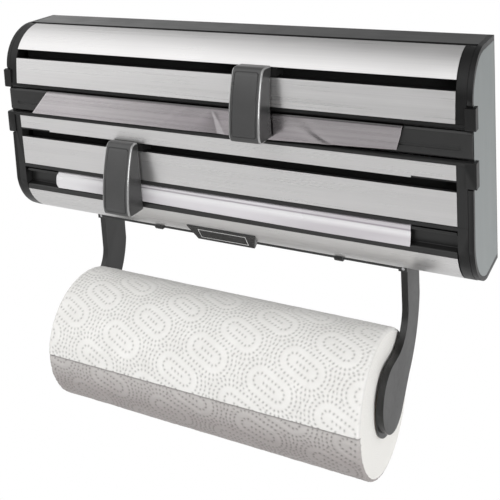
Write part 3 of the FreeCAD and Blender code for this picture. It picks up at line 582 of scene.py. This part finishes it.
# ------------------------------------------------------------- slider grips
def arc_to(p, q, r, turn, n=18):
    """Arc from p to q of radius r in the (y, drop) plane; turn picks the side."""
    p, q = np.array(p, float), np.array(q, float)
    m = (p + q) / 2
    h = q - p
    L = np.hypot(*h)
    k = math.sqrt(max(r * r - L * L / 4, 0))
    nrm = np.array([-h[1], h[0]]) / L
    c = m + nrm * k * turn
    a0 = math.atan2(*(p - c)[::-1])
    a1 = math.atan2(*(q - c)[::-1])
    da = (a1 - a0 + math.pi) % (2 * math.pi) - math.pi
    return [tuple(c + r * np.array([math.cos(a0 + da * t), math.sin(a0 + da * t)])) for t in np.linspace(0, 1, n)[1:]]


def round_path(pts, rads, n=6):
    out = [pts[0]]
    for k in range(1, len(pts) - 1):
        a, b, c = (np.array(v, float) for v in (pts[k - 1], pts[k], pts[k + 1]))
        u, v = (a - b) / np.hypot(*(a - b)), (c - b) / np.hypot(*(c - b))
        r = min(rads[k], np.hypot(*(a - b)) * 0.48, np.hypot(*(c - b)) * 0.48)
        if r < 1e-3:
            out.append(tuple(b))
            continue
        for t in np.linspace(0, 1, n):
            out.append(tuple((1 - t) ** 2 * (b + u * r) + 2 * t * (1 - t) * b + t ** 2 * (b + v * r)))
    out.append(pts[-1])
    return out


def grip(name, cx, path, back, cap_from, cap_to, body, stands):
    box_lo, box_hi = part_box(stands[0])
    P = np.array(path, float)
    L = np.concatenate([[0], np.cumsum(np.hypot(*np.diff(P, axis=0).T))])
    ns = 240
    s = np.linspace(0, L[-1], ns)
    P = np.stack([np.interp(s, L, P[:, 0]), np.interp(s, L, P[:, 1])], -1)
    tg = np.gradient(P, axis=0)
    tg /= np.hypot(tg[:, 0], tg[:, 1])[:, None]
    nr = np.stack([-tg[:, 1], tg[:, 0]], -1)
    ctr = P.mean(0)
    if ((P[ns // 2] - ctr) @ nr[ns // 2]) < 0:
        nr = -nr
    H = (box_hi.x - box_lo.x) / 2 / MM - 0.02
    er = 1.0
    xs = np.unique(np.concatenate([np.linspace(-H, H, 61), [-H, H], -H + er * (1 - np.cos(np.linspace(0, math.pi / 2, 8))), H - er * (1 - np.cos(np.linspace(0, math.pi / 2, 8))),
                                   np.linspace(8.7, 9.9, 9), -np.linspace(8.7, 9.9, 9)]))
    S_, X_ = np.meshgrid(s, xs, indexing="ij")
    over = np.clip((np.abs(X_) - (H - er)) / er, 0, 1)
    drop = er * (0.82 * over + 0.18 * (1 - np.sqrt(np.maximum(1 - over ** 2, 0))) - 0.10 * np.sin(over * math.pi))
    # groove round the inset cover plate
    s0, s1 = cap_from, cap_to
    mid, half = (s0 + s1) / 2, (s1 - s0) / 2
    cr_ = 1.6
    qx = np.abs(X_) - (9.2 - cr_)
    qs = np.abs(S_ - mid) - (half - cr_)
    dist = np.hypot(np.maximum(qx, 0), np.maximum(qs, 0)) + np.minimum(np.maximum(qx, qs), 0) - cr_
    groove = np.exp(-(dist / 0.30) ** 4) * 0.5
    plate = 0.22 / (1 + np.exp(np.clip(dist / 0.08, -50, 50)))
    hgt = -drop - groove + plate
    Y = P[:, 0][:, None] + nr[:, 0][:, None] * hgt
    D = P[:, 1][:, None] + nr[:, 1][:, None] * hgt
    V = np.stack([X_ + cx, Y, TOP / MM - D], -1).reshape(-1, 3)
    rim = np.clip((np.abs(X_) - (H - er * 1.25)) / (er * 0.12), 0, 1).reshape(-1)
    nx = len(xs)
    F = [tuple(f) for f in grid_faces(ns, nx)]
    K = [(cx + sx * H, y, TOP / MM - d) for y, d in back for sx in (-1, 1)]
    kb = len(V)
    V = np.concatenate([V, np.array(K)])
    nk = len(back)
    left = [i * nx for i in range(ns)]
    rgt = [i * nx + nx - 1 for i in range(ns)]
    kl = [kb + 2 * k for k in range(nk)]
    kr = [kb + 2 * k + 1 for k in range(nk)]
    F.append(tuple(left + kl[::-1]))
    F.append(tuple((rgt + kr[::-1])[::-1]))
    for k in range(nk - 1):
        F.append((kl[k], kl[k + 1], kr[k + 1], kr[k]))
    F.append(tuple(list(range(nx)) + [kr[0], kl[0]]))
    F.append(tuple([(ns - 1) * nx + j for j in range(nx)][::-1] + [kl[-1], kr[-1]]))
    me = bpy.data.meshes.new(name)
    me.from_pydata([tuple(v * MM) for v in V], [], F)
    bm = bmesh.new()
    bm.from_mesh(me)
    bmesh.ops.recalc_face_normals(bm, faces=bm.faces)
    for f in bm.faces:
        f.smooth = len(f.verts) == 4
    bm.to_mesh(me)
    bm.free()
    rimv = np.concatenate([rim, np.zeros(len(V) - len(rim))])
    sa = me.attributes.new("seam", "FLOAT", "POINT")
    sa.data.foreach_set("value", np.concatenate([np.exp(-(dist / 0.34) ** 4).reshape(-1), np.zeros(len(V) - len(rim))]).astype(np.float32))
    # the rim weight carries the clear coat and the painted highlight of the slider material
    ra = me.attributes.new("rim", "FLOAT", "FACE")
    ra.data.foreach_set("value", np.array([1.0 if len(f.vertices) == 4 and rimv[list(f.vertices)].mean() > 0.4 else 0.0 for f in me.polygons], np.float32))
    me.materials.append(MATS["slider_plastic"])
    o = bpy.data.objects.new(name, me)
    bpy.context.scene.collection.objects.link(o)
    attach(o, body)
    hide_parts(*stands)
    return o


lo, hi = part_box("upper_slider_grip")
UX = (lo.x + hi.x) / 2 / MM
lo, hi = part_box("lower_slider_grip")
LX = (lo.x + hi.x) / 2 / MM
top = [(-61.35, 15.25), (-69.8, 14.65), (-73.0, 15.25), (-74.8, 17.45)]
pth = round_path(top + [(-75.4, 19.6)], [0, 2.6, 1.7, 1.2, 0])[:-1] + arc_to((-74.8, 17.45), (-85.2, 60.6), 125.0, -1)
pth += round_path([pth[-1], (-84.4, 64.6), (-82.2, 66.35), (-66.8, 66.35)], [0, 1.6, 1.6, 0])[1:]
grip("upper_slider_body", UX, pth, [(-61.35, 15.9), (-61.45, 16.8), (-63.35, 23.6), (-64.95, 30.5), (-66.75, 46.0), (-66.75, 65.6)], 14.2, 60.0,
     "upper_slider", ("upper_slider_grip", "upper_slider_cap"))
top = [(-67.35, 82.4), (-70.0, 82.05), (-73.2, 82.65), (-75.0, 84.95)]
pth = round_path(top + [(-75.6, 87.0)], [0, 1.4, 1.6, 1.2, 0])[:-1] + arc_to((-75.0, 84.95), (-85.8, 131.0), 130.0, -1)
pth += round_path([pth[-1], (-85.0, 135.8), (-82.8, 137.55), (-67.0, 137.55)], [0, 1.6, 1.6, 0])[1:]
grip("lower_slider_body", LX, pth, [(-66.85, 83.2), (-66.95, 90.0), (-66.95, 136.8)], 9.6, 59.0,
     "lower_slider", ("lower_slider_grip", "lower_slider_cap"))


# ------------------------------------------------------------- foil and film
def sheet(name, xs_left, xs_right, prof, bend, mat, body, stands, nu, thick, tones=None):
    """prof: list of (y, drop) along the web; the x range varies from xs_left(s) to xs_right(s)."""
    prof = np.array(prof, float)
    seg = np.hypot(*np.diff(prof, axis=0).T)
    L = np.concatenate([[0], np.cumsum(seg)])
    ns = max(12, int(L[-1] / 0.45))
    s = np.linspace(0, L[-1], ns)
    # smooth the polyline
    y = np.interp(s, L, prof[:, 0])
    d = np.interp(s, L, prof[:, 1])
    for _ in range(6):
        y[1:-1] = (y[:-2] + 2 * y[1:-1] + y[2:]) / 4
        d[1:-1] = (d[:-2] + 2 * d[1:-1] + d[2:]) / 4
    t = np.linspace(0, 1, nu)
    f = s / L[-1]
    Tt, Ff = np.meshgrid(t, f, indexing="ij")
    X = xs_left(Ff) * (1 - Tt) + xs_right(Ff) * Tt
    Yb = np.broadcast_to(y, X.shape).copy()
    Db = np.broadcast_to(d, X.shape).copy()
    dy, dd = bend(X, Ff, Db)
    Y = Yb + dy
    D = Db + dd
    P = np.stack([X, Y, TOP / MM - D], -1).reshape(-1, 3) * MM
    attrs = {k: a.reshape(-1) for k, a in tones(X, Db).items()} if tones else None
    o = mesh_from(name, P, grid_faces(nu, ns), [mat], body, stands, attrs=attrs)
    so = o.modifiers.new("gauge", "SOLIDIFY")
    so.thickness = thick * MM
    so.offset = 0.0
    return o


APEX_X, APEX_D = 2.9, 51.0


def foil_bend(X, F, D):
    w = np.clip((D - 49.5) / 4.0, 0, 1)
    low = np.clip((D - 55.0) / 13.0, 0, 1)
    y = 0.07 * np.sin(X / 23.0 + D / 9.0) * w
    y += 0.07 * smooth_noise(X / 60.0, D / 9.0, 21) * w
    # tent-shaped crease just left of the upper cutter: a long left face and a short right one, and a curved crease to its right
    fall = np.maximum(D - APEX_D, 0.0)
    ridge = APEX_X + 0.2 * fall
    wl = 1.0 + 1.45 * fall
    wr = 1.5 + 0.32 * fall
    tent = np.where(X < ridge, np.clip(1.0 - (ridge - X) / wl, 0, 1), np.clip(1.0 - (X - ridge) / wr, 0, 1))
    y += 0.6 * tent * np.clip(fall / 5.0, 0, 1)
    for cx, sl, cv, amp, wd in ((-16.0, -1.7, 0.0, 0.20, 3.4), (70.0, 0.2, 0.052, -0.26, 4.6), (80.0, 0.1, 0.046, 0.22, 3.6)):
        line = cx + sl * (D - 50.0) + cv * np.maximum(D - 50.0, 0.0) ** 2
        y += amp * np.exp(-((X - line) / wd) ** 2) * w
    up = np.clip((X - 45.0) / 100.0, 0, 1)
    d = -3.4 * up * low
    y += -0.3 * up * low
    return np.clip(y, -0.75, 0.6), d


def foil_tones(X, D):
    """Painted shade and painted highlight for the tent crease: the left face and a vee line right of the ridge are
    painted dark, the right face is painted bright.
    """
    fall = np.maximum(D - APEX_D, 0.0)
    ridge = APEX_X + 0.2 * fall
    on = np.clip(fall / 2.0, 0, 1)
    left = np.where(X < ridge, np.clip(1.0 - (ridge - X) / (1.0 + 1.45 * fall), 0, 1), 0.0) * on
    span = 2.0 + 0.30 * fall
    lit = np.clip((X - ridge) / 0.8, 0, 1) * np.clip((ridge + span - X) / 1.5, 0, 1) * on
    vee = np.exp(-((X - ridge - span - 0.8) / (0.5 + 1.6 * np.clip(1 - fall / 13.0, 0, 1))) ** 2) * on * np.clip(1.3 - fall / 11.0, 0, 1)
    return {"dull": np.clip(left * 0.55 + vee * 0.6, 0, 1), "lit": lit}


FOIL_SHEET = sheet(
    "foil_web", lambda f: -150.8 - 18.6 * np.clip((f - 0.36) / 0.62, 0, 1.05), lambda f: 148.4 - 4.6 * np.clip((f - 0.36) / 0.64, 0, 1),
    [(-52.5, 48.62), (-58.0, 48.6), (-64.0, 48.6), (-64.75, 48.8), (-64.95, 49.6), (-65.1, 60.0), (-65.2, 68.9)],
    foil_bend, foil_mat("foil_web", 0.24, web=True), "housing", ("foil_sheet",), 420, 0.06, foil_tones)


def film_bend(X, F, D):
    w = np.clip((D - 119.0) / 3.0, 0, 1)
    right = np.clip((X + 60.0) / 150.0, 0, 1)
    y = 0.16 * smooth_noise(X / 46.0, D / 6.0, 31) * w
    crease = np.exp(-np.abs(D - (121.6 + 0.006 * (X + 150))) / 0.8)
    y += 0.3 * crease * w
    low = np.clip((D - 124.0) / 8.0, 0, 1)
    d = 0.15 * np.sin(X / 60.0) * w + (right * 1.2 - 1.6) * low
    return np.clip(y, -0.35, 0.45), d


sheet("film_web", lambda f: -151.8 + 2.6 * np.clip(np.abs(f - 0.68) / 0.32, 0, 1) ** 3, lambda f: 151.4 - 0.5 * np.abs(f - 0.5) ** 2 * 4,
      [(-57.0, 117.85), (-61.0, 117.85), (-63.6, 117.85), (-64.3, 118.3), (-64.5, 120.0), (-64.7, 124.0), (-65.1, 128.5), (-65.65, 132.9)],
      film_bend, film_mat("film_web", web=True), "housing", ("film_sheet",), 300, 0.12)

# --------------------------------------------------------------------- stage
floor_me = bpy.data.meshes.new("floor")
fz = -0.75
floor_me.from_pydata([(-9, -9, fz), (9, -9, fz), (9, 9, fz), (-9, 9, fz)], [], [(0, 1, 2, 3)])
floor = bpy.data.objects.new("floor", floor_me)
bpy.context.scene.collection.objects.link(floor)
fm_, fnt, fbs = new_mat("floor_pale")
fbs.inputs["Base Color"].default_value = (0.86, 0.86, 0.86, 1)
fbs.inputs["Roughness"].default_value = 0.9
em = fnt.nodes.new("ShaderNodeEmission")
em.inputs["Color"].default_value = (1, 1, 1, 1)
em.inputs["Strength"].default_value = 1.0
lp = fnt.nodes.new("ShaderNodeLightPath")
mx = fnt.nodes.new("ShaderNodeMixShader")
fnt.links.new(lp.outputs["Is Camera Ray"], mx.inputs[0])
fnt.links.new(fbs.outputs[0], mx.inputs[1])
fnt.links.new(em.outputs[0], mx.inputs[2])
bf = fnt.nodes.new("ShaderNodeNewGeometry")
tr = fnt.nodes.new("ShaderNodeBsdfTransparent")
mb = fnt.nodes.new("ShaderNodeMixShader")
fnt.links.new(bf.outputs["Backfacing"], mb.inputs[0])
fnt.links.new(mx.outputs[0], mb.inputs[1])
fnt.links.new(tr.outputs[0], mb.inputs[2])
fnt.links.new(mb.outputs[0], fnt.nodes["Material Output"].inputs[0])
floor_me.materials.append(fm_)

# --------------------------------------------------------------------- world
scene = bpy.context.scene
world = bpy.data.worlds.new("studio")
scene.world = world
world.use_nodes = True
wn = world.node_tree
wn.nodes.clear()
wo = wn.nodes.new("ShaderNodeOutputWorld")
tc = wn.nodes.new("ShaderNodeTexCoord")


def wadd(a, b):
    m = wn.nodes.new("ShaderNodeMath")
    m.operation = "ADD"
    for i, v in enumerate((a, b)):
        if isinstance(v, float):
            m.inputs[i].default_value = v
        else:
            wn.links.new(v, m.inputs[i])
    return m.outputs[0]




def wmath(op, a, b=None):
    m = wn.nodes.new("ShaderNodeMath")
    m.operation = op
    for k, v in enumerate((a, b)):
        if v is None:
            continue
        if isinstance(v, (int, float)):
            m.inputs[k].default_value = v
        else:
            wn.links.new(v, m.inputs[k])
    return m.outputs[0]


def wramp(val, stops):
    r = wn.nodes.new("ShaderNodeValToRGB")
    e = r.color_ramp.elements
    top = max(v for _, v in stops)
    e[0].position, e[1].position = stops[0][0], stops[-1][0]
    e[0].color = (*[stops[0][1] / top] * 3, 1)
    e[1].color = (*[stops[-1][1] / top] * 3, 1)
    for p, v in stops[1:-1]:
        x = e.new(p)
        x.color = (*[v / top] * 3, 1)
    wn.links.new(val, r.inputs[0])
    return wmath("MULTIPLY", r.outputs["Color"], top)


wsep = wn.nodes.new("ShaderNodeSeparateXYZ")
wn.links.new(tc.outputs["Generated"], wsep.inputs[0])
# azimuth 0 is straight in front of the wall, negative to the left
azim = wmath("DIVIDE", wmath("ARCTAN2", wsep.outputs[0], wmath("MULTIPLY", wsep.outputs[1], -1.0)), 2 * math.pi)
azim = wmath("ADD", azim, 0.5)


def az(*pairs):
    return [(a / 360.0 + 0.5, v) for a, v in pairs]


band = wramp(azim, az((-180, 0.3), (-163, 0.3), (-149, 0.45), (-135, 0.95), (-100, 1.0), (-62, 1.4), (-44, 1.28), (-33, 0.85), (-22, 0.32),
                      (-8, 0.12), (32, 0.12), (38, 7.0), (58, 7.0), (66, 0.3), (100, 0.5), (150, 0.5), (180, 0.3)))
away_lo = wramp(azim, az((-180, 0.35), (-164, 0.45), (-151, 1.9), (-141, 2.8), (-122, 2.2), (-95, 1.6), (-60, 1.7), (-44, 1.7), (-31, 1.6), (-22, 0.75), (-14, 0.22), (-4, 0.22),
                         (20, 0.6), (90, 0.5), (150, 0.4), (180, 0.35)))
away_hi = wramp(azim, az((-180, 0.25), (-150, 0.25), (-135, 0.4), (-118, 0.85), (-95, 1.15), (-60, 1.35), (-30, 1.42), (-8, 1.35), (20, 0.9), (90, 0.6), (150, 0.35), (180, 0.25)))
elev = wmath("MULTIPLY", wmath("ADD", wsep.outputs[2], 1.0), 0.5)
is_hi = wramp(elev, [(0.0, 0.0), (0.60, 0.0), (0.68, 1.0), (1.0, 1.0)])
away = wadd(wmath("MULTIPLY", away_hi, is_hi), wmath("MULTIPLY", away_lo, wmath("SUBTRACT", 1.0, is_hi)))
inband = wramp(elev, [(0.0, 0.0), (0.30, 0.0), (0.40, 1.0), (0.60, 1.0), (0.70, 0.0), (1.0, 0.0)])
shade = wramp(elev, [(0.0, 0.8), (0.05, 1.35), (0.12, 1.6), (0.22, 1.15), (0.32, 1.0), (0.48, 0.85), (0.58, 0.8), (0.72, 1.15), (0.90, 1.1), (0.95, 0.8), (1.0, 0.35)])
env = wadd(wmath("MULTIPLY", band, inband), wmath("MULTIPLY", wmath("MULTIPLY", away, shade), wmath("SUBTRACT", 1.0, inband)))
bg = wn.nodes.new("ShaderNodeBackground")
wn.links.new(env, bg.inputs["Color"])
bg.inputs["Strength"].default_value = 1.0
bw = wn.nodes.new("ShaderNodeBackground")
bw.inputs["Color"].default_value = (1, 1, 1, 1)
wl = wn.nodes.new("ShaderNodeLightPath")
wm = wn.nodes.new("ShaderNodeMixShader")
wn.links.new(wl.outputs["Is Camera Ray"], wm.inputs[0])
wn.links.new(bg.outputs[0], wm.inputs[1])
wn.links.new(bw.outputs[0], wm.inputs[2])
wn.links.new(wm.outputs[0], wo.inputs[0])


def area(name, loc, aim, size, power, size_y=None):
    l = bpy.data.lights.new(name, "AREA")
    l.shape = "RECTANGLE" if size_y else "SQUARE"
    l.size = size
    if size_y:
        l.size_y = size_y
    l.energy = power
    o = bpy.data.objects.new(name, l)
    scene.collection.objects.link(o)
    o.location = loc
    o.rotation_euler = (Vector(aim) - Vector(loc)).to_track_quat("-Z", "Y").to_euler()
    o.visible_glossy = False
    return o


area("key", (-0.45, -1.1, 1.35), (0, -0.05, -0.15), 0.6, 9.0)
area("side", (1.5, -0.5, 0.5), (0.1, -0.06, -0.15), 0.8, 8.0)

# -------------------------------------------------------------------- camera
cam = bpy.data.cameras.new("cam")
co = bpy.data.objects.new("cam", cam)
scene.collection.objects.link(co)
yaw, pitch, roll = math.radians(28.4), math.radians(9.8), math.radians(-3.64)
d = Vector((-math.sin(yaw) * math.cos(pitch), math.cos(yaw) * math.cos(pitch), -math.sin(pitch)))
right = Vector((math.cos(yaw), math.sin(yaw), 0))
up = right.cross(d)
r2 = right * math.cos(roll) + up * math.sin(roll)
u2 = -right * math.sin(roll) + up * math.cos(roll)
rot = Matrix((r2, u2, -d)).transposed()
co.rotation_mode = "QUATERNION"
co.rotation_quaternion = rot.to_quaternion()
co.location = (0.328, -0.595, 0.139 + TOP)
cam.sensor_width = 36.0
cam.lens = 36.0 * 880.0 / 500.0
cam.clip_start = 0.01
cam.clip_end = 50
# the lens is shifted only at the home position, so that any other view is centred
drv = cam.driver_add("shift_y").driver
drv.type = "SCRIPTED"
var = drv.variables.new()
var.name = "px"
var.type = "TRANSFORMS"
var.targets[0].id = co
var.targets[0].transform_type = "LOC_X"
var.targets[0].transform_space = "WORLD_SPACE"
drv.expression = "-0.508 if abs(px - 0.328) < 0.0005 else 0.0"
scene.camera = co
scene.view_settings.view_transform = "Standard"
scene.view_settings.look = "None"
